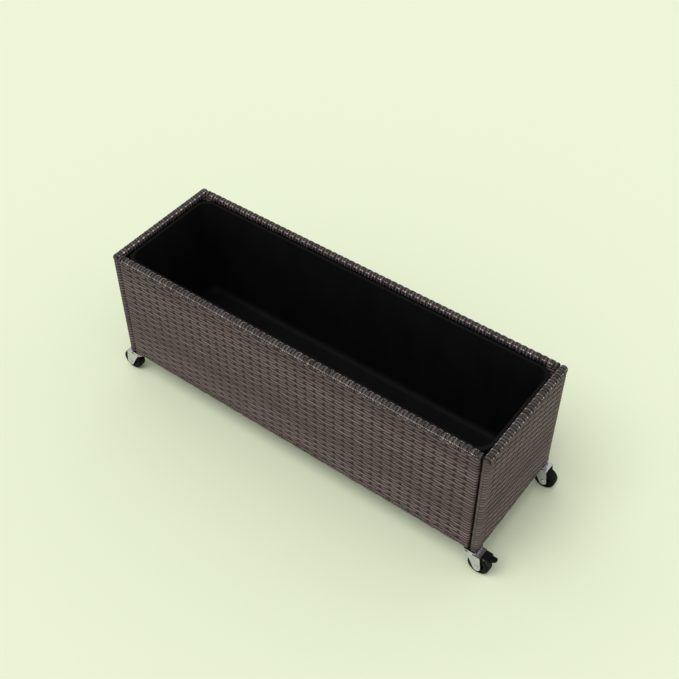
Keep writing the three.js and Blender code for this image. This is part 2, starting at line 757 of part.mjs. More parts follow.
function planter() {
  const whole = new THREE.Group();
  const seam = PANEL_THICKNESS + CLEARANCE;
  whole.add(panel('front', LONG_LENGTH, false, seam, 0, 0));
  whole.add(panel('back', LONG_LENGTH, false, PLANTER_LENGTH - seam, PLANTER_WIDTH, Math.PI));
  whole.add(panel('left', END_LENGTH, true, 0, PLANTER_WIDTH, -Math.PI / 2));
  whole.add(panel('right', END_LENGTH, true, PLANTER_LENGTH, 0, Math.PI / 2));
  whole.add(cornerBolts('front_left', false, TUBE_INSET));
  whole.add(cornerBolts('front_right', true, TUBE_INSET));
  whole.add(cornerBolts('back_left', false, PLANTER_WIDTH - TUBE_INSET));
  whole.add(cornerBolts('back_right', true, PLANTER_WIDTH - TUBE_INSET));
  whole.add(piece('deck', deckSheet(), sheetBlack));
  for (const [place, side] of [['left', -1], ['right', 1]]) {
    const bar = piece(`${place}_deck_bar`, deckBar(), sheetBlack);
    bar.position.x = PLANTER_LENGTH / 2 + (side * BAR_SPACING) / 2;
    whole.add(bar);
  }
  whole.add(piece('liner', linerTub(), linerBlack));
  whole.add(caster('front_left', false, CASTER_INSET, false));
  whole.add(caster('front_right', true, CASTER_INSET, true));
  whole.add(caster('back_left', false, PLANTER_WIDTH - CASTER_INSET, true));
  whole.add(caster('back_right', true, PLANTER_WIDTH - CASTER_INSET, false));
  whole.position.set(-PLANTER_LENGTH / 2, -PLANTER_WIDTH / 2, 0);
  return whole;
}

const model = new THREE.Group();
model.add(planter());

export default model;
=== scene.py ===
# %% [markdown]
# # A rolling planter in woven resin
# The planter is a long box of four woven panels. Each panel is a welded tube frame, and flat resin strands
# are woven and wrapped round it by hand. A black moulded liner stands inside, and four small plated casters
# carry it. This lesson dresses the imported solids: first the finishes, then the weave, the liner and the
# casters.

# %% The frame
import math

import bmesh
import bpy
from mathutils import Matrix, Vector


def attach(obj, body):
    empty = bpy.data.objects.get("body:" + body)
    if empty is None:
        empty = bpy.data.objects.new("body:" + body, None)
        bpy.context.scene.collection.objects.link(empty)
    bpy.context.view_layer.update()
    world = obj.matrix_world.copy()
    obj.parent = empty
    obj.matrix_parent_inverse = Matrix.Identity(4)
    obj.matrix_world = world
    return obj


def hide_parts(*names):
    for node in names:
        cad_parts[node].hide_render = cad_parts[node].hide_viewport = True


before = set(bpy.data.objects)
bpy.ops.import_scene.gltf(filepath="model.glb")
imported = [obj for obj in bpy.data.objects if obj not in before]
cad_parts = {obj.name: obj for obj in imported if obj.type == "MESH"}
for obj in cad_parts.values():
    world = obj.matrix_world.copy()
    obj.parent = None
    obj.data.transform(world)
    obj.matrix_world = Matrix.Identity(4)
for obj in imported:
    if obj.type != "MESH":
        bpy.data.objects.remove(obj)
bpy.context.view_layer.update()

# %% [markdown]
# ## Measures
# Everything below is worked out from the same real sizes as the solids, in metres. The weave's pitches were
# measured on the real panels: a row every 8.03 mm and a stake every 24.05 mm.

# %% Measures
MM = 0.001
PLANTER_LENGTH = 965 * MM
PLANTER_WIDTH = 304 * MM
RIM_HEIGHT = 363.5 * MM
PANEL_FOOT = 65.5 * MM
PANEL_THICKNESS = 19 * MM
LONG_PANEL_LENGTH = 926.4 * MM
TUBE_INSET = PANEL_THICKNESS / 2
STRAND_WIDTH = 7.1 * MM
STRAND_THICKNESS = 3.6 * MM
ROW_PITCH = 8.03 * MM
ROW_COUNT = 36
TOP_ROW_HEIGHT = 352.7 * MM
STAKE_PITCH = 24.05 * MM
STAKE_WIDTH = 10 * MM
WEAVE_DEPTH = 0.72 * MM
DIP_SHARPNESS = 3.6
WRAP_RADIUS = 8.6 * MM
LONG_WRAP_COUNT = 115
END_WRAP_COUNT = 37
LONG_WRAP_START = 4.5 * MM
LONG_WRAP_PITCH = (LONG_PANEL_LENGTH - 2 * LONG_WRAP_START) / LONG_WRAP_COUNT
END_WRAP_PITCH = (PLANTER_WIDTH - 2 * TUBE_INSET) / END_WRAP_COUNT
FIRST_STAKE = {"long": 8.6 * MM, "end": 7.7 * MM}
print("wrap pitches, mm:", round(LONG_WRAP_PITCH / MM, 3), round(END_WRAP_PITCH / MM, 3))

# %% [markdown]
# ## Finishes
# Each finish is a small tree of nodes. A picture laid on the surface would be quicker, but noise scaled from
# real sizes looks right from every side. Colours are written as screen colours and turned to linear ones
# once.

# %% Colour and node helpers
def screen_colour(code):
    """A hex screen colour as a linear colour with alpha."""
    parts = [int(code[i:i + 2], 16) / 255 for i in (1, 3, 5)]
    linear = [c / 12.92 if c <= 0.04045 else ((c + 0.055) / 1.055) ** 2.4 for c in parts]
    return (*linear, 1.0)


def new_finish(name):
    """An empty material and its shader node."""
    material = bpy.data.materials.new(name)
    material.use_nodes = True
    shader = material.node_tree.nodes["Principled BSDF"]
    return material, shader


def add(material, kind, settings=None, **sockets):
    """Adds one node: settings are its own fields, sockets its inputs by name or number."""
    node = material.node_tree.nodes.new("ShaderNode" + kind)
    for field, value in (settings or {}).items():
        setattr(node, field, value)
    for socket, value in sockets.items():
        target = node.inputs[int(socket[1:])] if socket.startswith("n") else node.inputs[socket]
        if isinstance(value, bpy.types.NodeSocket):
            material.node_tree.links.new(value, target)
        else:
            target.default_value = value
    return node


def join(material, output, target):
    """Links one output to one input."""
    material.node_tree.links.new(output, target)


def object_place(material):
    """The point on the object, in metres, in the planter's own frame."""
    return add(material, "TexCoord").outputs["Object"]


def stretched_noise(material, point, scales, detail=3.0):
    """Noise whose patches are one part in scale of a metre long, along each axis."""
    place = add(material, "Mapping", n0=point, n3=scales).outputs[0]
    return add(material, "TexNoise", Vector=place, Scale=1.0, Detail=detail, Roughness=0.55).outputs["Fac"]


def remap(material, value, low, high):
    """A value of 0 to 1 spread from low to high."""
    return add(material, "MapRange", n0=value, n3=low, n4=high).outputs[0]


def mixed(material, share, first, second):
    """A colour between the first and the second, each of them a colour or an output."""
    node = add(material, "Mix", {"data_type": "RGBA"}, n0=share)
    for socket, value in ((node.inputs[6], first), (node.inputs[7], second)):
        if isinstance(value, bpy.types.NodeSocket):
            join(material, value, socket)
        else:
            socket.default_value = value
    return node.outputs[2]


def bumped(material, shader, height, depth):
    """Presses a height of 0 to 1 into the surface, depth metres deep."""
    bump = add(material, "Bump", Height=height, Distance=depth, Strength=1.0)
    join(material, bump.outputs["Normal"], shader.inputs["Normal"])
    return bump


# %% [markdown]
# The strands are flat resin ribbon with fine grooves along them. Each one is a little lighter or darker than
# the next, and the tone drifts slowly along it. Each ribbon's edges get painted shade, dark where the next
# one would shade it, which leaves a painted pale crest along its middle. One function makes the finish for
# each run of the strands, because a ribbon's middle can be counted off from its pitch.

# %% Strand finish
GROOVE_PITCH = 0.9 * MM
GROOVE_DEPTH = 0.06 * MM
RIBBON_SHEEN = 0.22


def strand_finish(name, along, across, pitch, middle, light, dark, edge, unshaded_crown=0.3):
    """Ribbon along one axis, counted along the other from one middle. Its edges get painted shade in the edge
    colour; the unshaded crown is the share across its middle left without it.
    """
    material, shader = new_finish(name)
    point = object_place(material)
    axes = add(material, "SeparateXYZ", n0=point).outputs
    counted = add(material, "Math", {"operation": "MULTIPLY_ADD"}, n0=axes[across], n1=1 / pitch,
                  n2=0.5 - middle / pitch).outputs[0]
    strand = add(material, "Math", {"operation": "FLOOR"}, n0=counted).outputs[0]
    own_tone = add(material, "TexWhiteNoise", {"noise_dimensions": "1D"}, W=strand).outputs["Value"]
    scales = [60.0, 60.0, 60.0]
    scales[along] = 9.0
    drift = stretched_noise(material, point, scales)
    tone = add(material, "Math", {"operation": "MULTIPLY_ADD"}, n0=own_tone, n1=0.45, n2=drift).outputs[0]
    share = add(material, "MapRange", n0=tone, n1=0.35, n2=1.1, n3=0.0, n4=1.0).outputs[0]
    colour = mixed(material, share, screen_colour(dark), screen_colour(light))
    # Painted shade: away from each ribbon's middle its colour is mixed towards the edge colour, which darkens
    # the edges as shade and leaves the crest pale.
    part = add(material, "Math", {"operation": "FRACT"}, n0=counted).outputs[0]
    off_middle = add(material, "Math", {"operation": "SUBTRACT"}, n0=part, n1=0.5).outputs[0]
    far_off = add(material, "Math", {"operation": "ABSOLUTE"}, n0=off_middle).outputs[0]
    shade = add(material, "MapRange", {"interpolation_type": "SMOOTHSTEP"}, n0=far_off,
                n1=unshaded_crown / 2, n2=0.46, n3=0.0, n4=1.0).outputs[0]
    join(material, mixed(material, shade, colour, screen_colour(edge)), shader.inputs["Base Color"])
    shader.inputs["Specular IOR Level"].default_value = RIBBON_SHEEN
    grooves = add(material, "Math", {"operation": "MULTIPLY"}, n0=axes[across], n1=2 * math.pi / GROOVE_PITCH)
    ridges = add(material, "Math", {"operation": "SINE"}, n0=grooves.outputs[0]).outputs[0]
    grain = [2600.0, 2600.0, 2600.0]
    grain[along] = 160.0
    fibres = stretched_noise(material, point, grain, 2.0)
    relief = add(material, "Math", {"operation": "MULTIPLY_ADD"}, n0=ridges, n1=0.35, n2=fibres).outputs[0]
    bumped(material, shader, relief, GROOVE_DEPTH)
    join(material, remap(material, fibres, 0.3, 0.46), shader.inputs["Roughness"])
    return material


# The third colour of each kind is painted shade, laid along the ribbons' edges.
ROW_LIGHT, ROW_DARK, ROW_PAINTED_SHADE = "#94807C", "#635350", "#1F1918"
RIM_LIGHT, RIM_DARK, RIM_PAINTED_SHADE = "#6A5F5B", "#2A2422", "#100D0C"
BEAD_LIGHT, BEAD_DARK, BEAD_PAINTED_SHADE = "#E0D8D3", "#9A908B", "#3A3331"
LONG_START = -LONG_PANEL_LENGTH / 2
END_START = -PLANTER_WIDTH / 2
row_finish_x = strand_finish("woven_resin_ribbon_long", 0, 2, ROW_PITCH, TOP_ROW_HEIGHT,
                             ROW_LIGHT, ROW_DARK, ROW_PAINTED_SHADE)
row_finish_y = strand_finish("woven_resin_ribbon_end", 1, 2, ROW_PITCH, TOP_ROW_HEIGHT,
                             ROW_LIGHT, ROW_DARK, ROW_PAINTED_SHADE)
# Painted shade: the stakes are coloured far darker than the rows, for the hollows where a row dips behind a
# stake.
painted_shade_stake_finish = strand_finish("resin_stake_ribbon_painted_shade", 2, 0, STAKE_PITCH, LONG_START + FIRST_STAKE["long"],
                             "#322A29", "#262020", "#1B1716")
# Painted shade: the lining is a near-black ribbon standing for the shaded inside of the weave, seen through
# its gaps.
painted_shade_lining_finish = strand_finish("inner_ribbon_painted_shade", 0, 2, ROW_PITCH, TOP_ROW_HEIGHT,
                              "#1C1817", "#141111", "#0E0C0C")
wrap_finish_x = strand_finish("wrapped_resin_ribbon_long", 1, 0, LONG_WRAP_PITCH,
                              LONG_START + LONG_WRAP_START, RIM_LIGHT, RIM_DARK, RIM_PAINTED_SHADE, 0.15)
wrap_finish_y = strand_finish("wrapped_resin_ribbon_end", 0, 1, END_WRAP_PITCH, END_START + TUBE_INSET,
                              RIM_LIGHT, RIM_DARK, RIM_PAINTED_SHADE, 0.15)
bead_finish_x = strand_finish("braid_ribbon_long", 1, 0, LONG_WRAP_PITCH, LONG_START + LONG_WRAP_START,
                              BEAD_LIGHT, BEAD_DARK, BEAD_PAINTED_SHADE, 0.3)
bead_finish_y = strand_finish("braid_ribbon_end", 0, 1, END_WRAP_PITCH, END_START + TUBE_INSET,
                              BEAD_LIGHT, BEAD_DARK, BEAD_PAINTED_SHADE, 0.3)
print("materials so far:", len(bpy.data.materials))

# %% [markdown]
# The other finishes: powder-coated steel has a fine orange peel, the liner is dull moulded plastic with
# handling marks, and the caster's metal is bright zinc with faint rolling lines. One function for each kind
# keeps the pieces of a kind alike, and a hex colour tells them apart.

# %% Metal, plastic and rubber finishes
def coated_steel(name, code, peel=900.0):
    """Powder coat with a fine orange peel and a little dust."""
    material, shader = new_finish(name)
    point = object_place(material)
    mottle = stretched_noise(material, point, [peel] * 3, 4.0)
    dust = stretched_noise(material, point, [14.0] * 3, 5.0)
    base = screen_colour(code)
    lighter = tuple(min(1.0, c * 1.5 + 0.004) for c in base[:3]) + (1.0,)
    join(material, mixed(material, dust, base, lighter), shader.inputs["Base Color"])
    join(material, remap(material, mottle, 0.38, 0.55), shader.inputs["Roughness"])
    bumped(material, shader, mottle, 0.05 * MM)
    return material


def moulded_plastic(name, code, low, high, relief=0.03):
    """Plastic or rubber as it comes from a mould, with a roughness from low to high and a relief in mm."""
    material, shader = new_finish(name)
    point = object_place(material)
    skin = stretched_noise(material, point, [1400.0] * 3, 3.0)
    marks = stretched_noise(material, point, [22.0, 22.0, 9.0], 6.0)
    base = screen_colour(code)
    lighter = tuple(min(1.0, c * 1.6 + 0.003) for c in base[:3]) + (1.0,)
    join(material, mixed(material, marks, base, lighter), shader.inputs["Base Color"])
    join(material, remap(material, marks, low, high), shader.inputs["Roughness"])
    bumped(material, shader, skin, relief * MM)
    return material


def plated_steel(name, code, low, high):
    """Bare or plated steel with rolling lines and a cloudy shine, rough from low to high."""
    material, shader = new_finish(name)
    point = object_place(material)
    lines = stretched_noise(material, point, [220.0, 220.0, 1800.0], 4.0)
    cloud = stretched_noise(material, point, [60.0] * 3, 5.0)
    base = screen_colour(code)
    duller = tuple(c * 0.72 for c in base[:3]) + (1.0,)
    join(material, mixed(material, cloud, duller, base), shader.inputs["Base Color"])
    shader.inputs["Metallic"].default_value = 1.0
    join(material, remap(material, cloud, low, high), shader.inputs["Roughness"])
    bumped(material, shader, lines, 0.012 * MM)
    return material


frame_coat = coated_steel("black_powder_coated_tube", "#1C1B1B")
sheet_coat = coated_steel("black_powder_coated_sheet", "#202020", 500.0)
liner_plastic = moulded_plastic("black_moulded_liner_plastic", "#050506", 0.6, 0.72)
bright_zinc = plated_steel("bright_zinc_plated_steel", "#D9D8DC", 0.16, 0.3)
plain_steel = plated_steel("plain_bolt_steel", "#9A9997", 0.3, 0.45)
black_steel = plated_steel("blackened_bolt_steel", "#2B2A2A", 0.45, 0.6)
tyre_rubber = moulded_plastic("black_tyre_rubber", "#080808", 0.55, 0.7, 0.06)
hub_plastic = moulded_plastic("black_wheel_plastic", "#0E0E0E", 0.45, 0.58)
pedal_plastic = moulded_plastic("black_pedal_plastic", "#080809", 0.42, 0.55)
SHEENS = {liner_plastic: 0.08, tyre_rubber: 0.12, hub_plastic: 0.12, pedal_plastic: 0.12}
for dull, sheen in SHEENS.items():
    dull.node_tree.nodes["Principled BSDF"].inputs["Specular IOR Level"].default_value = sheen
print("materials with the solids' own:", len(bpy.data.materials))

# %% [markdown]
# ## The camera
# The camera stands in front of the right-hand end and looks down at 46 degrees. It could be set by eye, but
# its place and lens were fitted to the straight edges of the box, so that a wrong size would show at once.

# %% Camera
CAMERA_PLACE = Vector((1009.0, -1307.2, 1947.1)) * MM
CAMERA_YAW = 36.214
CAMERA_DOWN = 46.267
CAMERA_ROLL = 0.278
camera_data = bpy.data.cameras.new("photo_camera")
camera_data.sensor_width = 36.0
camera_data.lens = 58.35
camera_data.shift_x = -0.01399
camera_data.shift_y = 0.02252
camera_data.clip_start = 0.01
camera_data.clip_end = 1000.0
camera = bpy.data.objects.new("photo_camera", camera_data)
bpy.context.scene.collection.objects.link(camera)
camera.matrix_world = (
    Matrix.Translation(CAMERA_PLACE)
    @ Matrix.Rotation(math.radians(CAMERA_YAW), 4, "Z")
    @ Matrix.Rotation(math.radians(90 - CAMERA_DOWN), 4, "X")
    @ Matrix.Rotation(math.radians(CAMERA_ROLL), 4, "Z")
)
bpy.context.scene.camera = camera
bpy.context.scene.view_settings.view_transform = "Standard"
print("camera to planter, m:", round(CAMERA_PLACE.length, 2))

# %% [markdown]
# ## The studio
# The studio is one very large matt floor under a soft white sky, with one broad lamp high at the front left.
# A bent backdrop would do as well, but a plane has no seam and keeps the planter's shadow. The camera and the
# metal see its pale green, and the light that it throws on the planter is grey, so that the weave isn't
# tinted.

# %% Studio
FLOOR_SIZE = 600.0
FLOOR_COLOUR, FLOOR_BOUNCE = "#E7EFD1", "#77757A"
SKY_STRENGTH = 0.7
KEY_PLACE = (-0.6, -1.7, 3.6)
KEY_SOFTNESS = 40.0
KEY_STRENGTH = 1.3


def stage_plane(name, size, place, colour, bounce):
    """A matt plane of one colour. The light that it throws on the planter is a neutral grey."""
    mesh = bpy.data.meshes.new(name)
    plane = bmesh.new()
    bmesh.ops.create_grid(plane, x_segments=1, y_segments=1, size=size / 2)
    plane.to_mesh(mesh)
    plane.free()
    thing = bpy.data.objects.new(name, mesh)
    thing.location = place
    material, shader = new_finish(name + "_paint")
    rays = add(material, "LightPath").outputs
    seen = add(material, "Math", {"operation": "MAXIMUM"}, n0=rays["Is Camera Ray"],
               n1=rays["Is Glossy Ray"])
    seen = add(material, "Math", {"operation": "MAXIMUM"}, n0=seen.outputs[0],
               n1=rays["Is Transmission Ray"])
    tint = mixed(material, seen.outputs[0], screen_colour(bounce), screen_colour(colour))
    join(material, tint, shader.inputs["Base Color"])
    shader.inputs["Roughness"].default_value = 0.9
    shader.inputs["Specular IOR Level"].default_value = 0.1
    mesh.materials.append(material)
    bpy.context.scene.collection.objects.link(thing)


stage_plane("studio_floor", FLOOR_SIZE, (0, 0, 0), FLOOR_COLOUR, FLOOR_BOUNCE)
world = bpy.data.worlds.new("soft_sky")
bpy.context.scene.world = world
world.use_nodes = True
world.node_tree.nodes["Background"].inputs["Color"].default_value = (1, 1, 1, 1)
world.node_tree.nodes["Background"].inputs["Strength"].default_value = SKY_STRENGTH


def even_lamp(name, place, softness, strength):
    """A far lamp whose light is even all over the floor. Its softness is the angle it fills, in degrees."""
    data = bpy.data.lights.new(name, "SUN")
    data.angle = math.radians(softness)
    data.energy = strength
    lamp = bpy.data.objects.new(name, data)
    lamp.location = place
    lamp.rotation_mode = "QUATERNION"
    lamp.rotation_quaternion = (-Vector(place)).to_track_quat("-Z", "Y")
    bpy.context.scene.collection.objects.link(lamp)


even_lamp("key_lamp", KEY_PLACE, KEY_SOFTNESS, KEY_STRENGTH)
print("lamps:", len(bpy.data.lights))

# %% [markdown]
# ## Weaving
# A strand is a flat, slightly crowned ribbon. A row passes in front of one stake and behind the next, and
# neighbouring rows are opposite. At each end it turns round the frame's post. A relief pressed into a plain
# sheet would be lighter, but its edges would look soft close up, so each strand is a section swept along its
# own path and turned into a mesh.

# %% Strand helpers
def strand_section(name, width, thickness):
    """The flat section of a ribbon, as a small closed curve. Its Y is the ribbon's width."""
    data = bpy.data.curves.new(name, "CURVE")
    data.dimensions = "2D"
    spline = data.splines.new("POLY")
    half, thin = width / 2, thickness / 2
    outline = [(thin * 0.7, 0), (thin * 0.3, -half), (-thin * 0.35, -half * 0.86),
               (-thin * 0.84, -half * 0.5), (-thin, 0), (-thin * 0.84, half * 0.5),
               (-thin * 0.35, half * 0.86), (thin * 0.3, half)]
    spline.points.add(len(outline) - 1)
    for spot, (x, y) in zip(spline.points, outline):
        spot.co = (x, y, 0, 1)
    spline.use_cyclic_u = True
    section = bpy.data.objects.new(name, data)
    bpy.context.scene.collection.objects.link(section)
    return section


def strands_to_mesh(name, paths, section, tilt=0.0):
    """Sweeps the section along each path. A path is a list of points, kept upright along its way."""
    data = bpy.data.curves.new(name + "_paths", "CURVE")
    data.dimensions = "3D"
    data.twist_mode = "Z_UP"
    data.bevel_mode = "OBJECT"
    data.bevel_object = section
    data.use_fill_caps = True
    for path in paths:
        spline = data.splines.new("POLY")
        spline.points.add(len(path) - 1)
        for spot, point in zip(spline.points, path):
            spot.co = (*point, 1)
            spot.tilt = tilt
    sweep = bpy.data.objects.new(name + "_sweep", data)
    bpy.context.scene.collection.objects.link(sweep)
    bpy.context.view_layer.update()
    graph = bpy.context.evaluated_depsgraph_get()
    mesh = bpy.data.meshes.new_from_object(sweep.evaluated_get(graph))
    mesh.name = name
    bpy.data.objects.remove(sweep)
    bpy.data.curves.remove(data)
    return mesh


def place_piece(name, mesh, body, material=None, replaced=()):
    """Puts a finished mesh on show: it rides on its body, and stands for the solids it replaces."""
    piece = bpy.data.objects.new(name, mesh)
    mesh.name = name
    if material is not None:
        mesh.materials.clear()
        mesh.materials.append(material)
    bpy.context.scene.collection.objects.link(piece)
    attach(piece, body)
    if replaced:
        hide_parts(*replaced)
    return piece


def smooth(mesh):
    """Shades every face smooth."""
    for face in mesh.polygons:
        face.use_smooth = True
    return mesh


row_section = strand_section("row_section", STRAND_WIDTH, STRAND_THICKNESS)
print("section points:", len(row_section.data.splines[0].points))

# %% [markdown]
# A panel is woven in its own frame, with X along it and its outer face at Y = 0, and is then turned into
# place. The two long panels have squarer ends than the end panels, whose posts show as round columns.

# %% Panel rows and stakes
END_GAP = {"long": 1.4 * MM, "end": 0}
END_TURN_RADIUS = {"long": 4.3 * MM, "end": 8.8 * MM}
SKIN_INSET = 1.85 * MM
TAIL_REACH = 22 * MM
TURN_STEPS = 4
STEPS_PER_STAKE = 8
FLAT_END, FULL_WEAVE = 11 * MM, 25 * MM
STAKE_THICKNESS = 1.2 * MM
STAKE_ROUNDING = 0.3 * MM
STAKE_HEM = 6 * MM
STAKE_MARGIN = 16 * MM
LINING_INSET = 16.8 * MM
LINING_DEPTH = 5.9 * MM
LINING_THICKNESS = 0.5 * MM


def ramp(value, start, end):
    """Rises smoothly from 0 at the start to 1 at the end."""
    share = min(1.0, max(0.0, (value - start) / (end - start)))
    return share * share * (3 - 2 * share)


def turn_points(radius, inset, thickness):
    """The way round the frame's post, from the inner face to the outer one, as seen from above."""
    points = [(TAIL_REACH, thickness - inset)]
    middle = inset + radius
    for step in range(TURN_STEPS + 1):
        angle = math.radians(90 + 90 * step / TURN_STEPS)
        points.append((middle + radius * math.cos(angle), thickness - middle + radius * math.sin(angle)))
    for step in range(TURN_STEPS + 1):
        angle = math.radians(180 + 90 * step / TURN_STEPS)
        points.append((middle + radius * math.cos(angle), middle + radius * math.sin(angle)))
    return points


def row_path(length, height, row, kind):
    """One row from post to post."""
    first, radius = FIRST_STAKE[kind], END_TURN_RADIUS[kind]
    gap = END_GAP[kind]
    turn = [(x + gap, y) for x, y in turn_points(radius, SKIN_INSET, PANEL_THICKNESS)]
    start = SKIN_INSET + radius + gap
    steps = round((length - 2 * start) / (STAKE_PITCH / STEPS_PER_STAKE))
    face = []
    for step in range(1, steps):
        x = start + (length - 2 * start) * step / steps
        depth = 2 * WEAVE_DEPTH * ramp(min(x, length - x), FLAT_END, FULL_WEAVE)
        wave = (1 + math.cos(math.pi * (x - first) / STAKE_PITCH + math.pi * row)) / 2
        face.append((x, SKIN_INSET + depth * wave ** DIP_SHARPNESS))
    outline = turn + face + [(length - x, y) for x, y in reversed(turn)]
    return [(x, y, height) for x, y in outline]


def weave_rows(name, length, kind):
    """All the rows of a panel as one mesh."""
    paths = []
    for row in range(ROW_COUNT):
        height = TOP_ROW_HEIGHT - row * ROW_PITCH
        paths.append(row_path(length, height, row, kind))
    return smooth(strands_to_mesh(name, paths, row_section))


def weave_stakes(name, length, kind):
    """The upright ribbons that the rows pass round, cut from one flat strip each."""
    strips = bmesh.new()
    first = FIRST_STAKE[kind]
    low, high = PANEL_FOOT + STAKE_HEM, RIM_HEIGHT - STAKE_HEM
    depth = SKIN_INSET + WEAVE_DEPTH
    count = int((length - STAKE_MARGIN - first) / STAKE_PITCH)
    for stake in range(1, count + 1):
        x = first + stake * STAKE_PITCH
        size = Matrix.Diagonal((STAKE_WIDTH, STAKE_THICKNESS, high - low, 1))
        spot = Matrix.Translation((x, depth, (low + high) / 2))
        bmesh.ops.create_cube(strips, size=1.0, matrix=spot @ size)
    bmesh.ops.bevel(strips, geom=strips.edges[:], offset=STAKE_ROUNDING, segments=1, profile=0.5,
                    affect="EDGES", material=-1)
    mesh = bpy.data.meshes.new(name)
    strips.to_mesh(mesh)
    strips.free()
    return smooth(mesh)


def weave_painted_shade_lining(name, length):
    """A near-black sheet just behind the rows: painted shade for the weave's shaded inside, seen through its
    gaps.
    """
    high, low = RIM_HEIGHT - LINING_INSET, PANEL_FOOT + LINING_INSET
    sheet = bmesh.new()
    size = Matrix.Diagonal((length - 2 * LINING_INSET, LINING_THICKNESS, high - low, 1))
    spot = Matrix.Translation((length / 2, LINING_DEPTH, (high + low) / 2))
    bmesh.ops.create_cube(sheet, size=1.0, matrix=spot @ size)
    mesh = bpy.data.meshes.new(name)
    sheet.to_mesh(mesh)
    sheet.free()
    return mesh


# %% [markdown]
# The rim is wrapped with the same ribbon. Each wrap leans the other way from the last one, so that they close
# up in pairs, and two ribbons run along the rim over one wrap and under the next. One long helix would be as
# quick to make, but it can't close up in pairs, so one wrap is spun once and copied to each place.

# %% Wrapped rims
WRAP_WIDTH = 5.8 * MM
WRAP_CROWN = 1.7 * MM
WRAP_LEAN = 11.0
WRAP_STEPS = 28
FAN_ANGLES = (22.5, 45, 67.5)
BRAID_MARGIN = 10 * MM
BRAID_SINK = 0.1 * MM
BRAID_SWING = 0.75 * MM
BRAID_INNER_LEAN, BRAID_OUTER_LEAN = 42, -58


def wrap_strip():
    """One wrap round a tube along X at the origin: a flat section spun all the way round."""
    wrap = bmesh.new()
    half, thin = WRAP_WIDTH / 2, WRAP_CROWN / 2
    outline = [(-half, -thin * 0.6), (-half * 0.7, thin * 0.5), (0, thin), (half * 0.7, thin * 0.5),
               (half, -thin * 0.6), (half * 0.7, -thin), (0, -thin), (-half * 0.7, -thin)]
    spots = [wrap.verts.new((x, 0, WRAP_RADIUS + z)) for x, z in outline]
    edges = [wrap.edges.new((spots[i], spots[(i + 1) % 8])) for i in range(8)]
    bmesh.ops.spin(wrap, geom=spots + edges, axis=(1, 0, 0), cent=(0, 0, 0), dvec=(0, 0, 0),
                   angle=2 * math.pi, steps=WRAP_STEPS, use_merge=True)
    bmesh.ops.recalc_face_normals(wrap, faces=wrap.faces)
    mesh = bpy.data.meshes.new("wrap_strip")
    wrap.to_mesh(mesh)
    wrap.free()
    return mesh


wrap_mesh = wrap_strip()


def wrap_tube(name, places):
    """Copies the wrap to each place, which is a matrix in the panel's frame."""
    whole = bmesh.new()
    for place in places:
        before = len(whole.verts)
        whole.from_mesh(wrap_mesh)
        whole.verts.ensure_lookup_table()
        bmesh.ops.transform(whole, matrix=place, verts=whole.verts[before:])
    mesh = bpy.data.meshes.new(name)
    whole.to_mesh(mesh)
    whole.free()
    return smooth(mesh)


def tube_places(length, height, pitch, corners, lean_angle):
    """Where the wraps of one level tube go. A panel with round corners starts at its posts' middles."""
    start = TUBE_INSET if corners else LONG_WRAP_START
    count = round((length - 2 * start) / pitch)
    places = []
    for wrap in range(count + 1):
        x = start + (length - 2 * start) * wrap / count
        lean = lean_angle if wrap % 2 else -lean_angle
        places.append(Matrix.Translation((x, TUBE_INSET, height))
                      @ Matrix.Rotation(math.radians(lean), 4, "Z"))
    return places


def corner_places(length, height, upward):
    """The fan of wraps round an end panel's two corners, from the level tube to the post."""
    places = []
    for x, side in ((TUBE_INSET, -1), (length - TUBE_INSET, 1)):
        for angle in FAN_ANGLES:
            turn = math.radians(angle * side * (1 if upward else -1))
            places.append(Matrix.Translation((x, TUBE_INSET, height)) @ Matrix.Rotation(turn, 4, "Y"))
    return places


def braid_path(length, height, angle, pitch):
    """A ribbon along a level tube, over one wrap and under the next, at an angle from the top."""
    points = []
    start = BRAID_MARGIN
    steps = round((length - 2 * start) / (pitch / 3))
    for step in range(steps + 1):
        x = start + (length - 2 * start) * step / steps
        radius = WRAP_RADIUS - BRAID_SINK + BRAID_SWING * math.cos(math.pi * x / pitch)
        points.append((x, TUBE_INSET + radius * math.sin(math.radians(angle)),
                       height + radius * math.cos(math.radians(angle))))
    return points


def braid_rim(name, length, height, pitch):
    """The two ribbons that run along a rim, one on its inner shoulder and one on its outer one."""
    both = bmesh.new()
    for lean in (BRAID_INNER_LEAN, BRAID_OUTER_LEAN):
        path = braid_path(length, height, lean, pitch)
        ribbon = strands_to_mesh(name + "_ribbon", [path], braid_section, math.radians(-lean))
        both.from_mesh(ribbon)
        bpy.data.meshes.remove(ribbon)
    mesh = bpy.data.meshes.new(name)
    both.to_mesh(mesh)
    both.free()
    return smooth(mesh)


braid_section = strand_section("braid_section", 1.1 * MM, 3.2 * MM)
print("faces of one wrap:", len(wrap_mesh.polygons))

# %% [markdown]
# The end panels run over the planter's full width, and the long panels fit between them. Each panel gets
# rows, darkened stakes and a near-black lining, both of them painted shade, the wraps of its top and bottom
# tubes, and the braid. Four copies of one panel would be simpler, but the lengths and the corners differ, so
# one function takes the side's own values.

# %% Four panels
PANELS = {
    "front": ("long", 0, (-LONG_PANEL_LENGTH / 2, -PLANTER_WIDTH / 2, 0)),
    "back": ("long", 180, (LONG_PANEL_LENGTH / 2, PLANTER_WIDTH / 2, 0)),
    "left": ("end", -90, (-PLANTER_LENGTH / 2, PLANTER_WIDTH / 2, 0)),
    "right": ("end", 90, (PLANTER_LENGTH / 2, -PLANTER_WIDTH / 2, 0)),
}


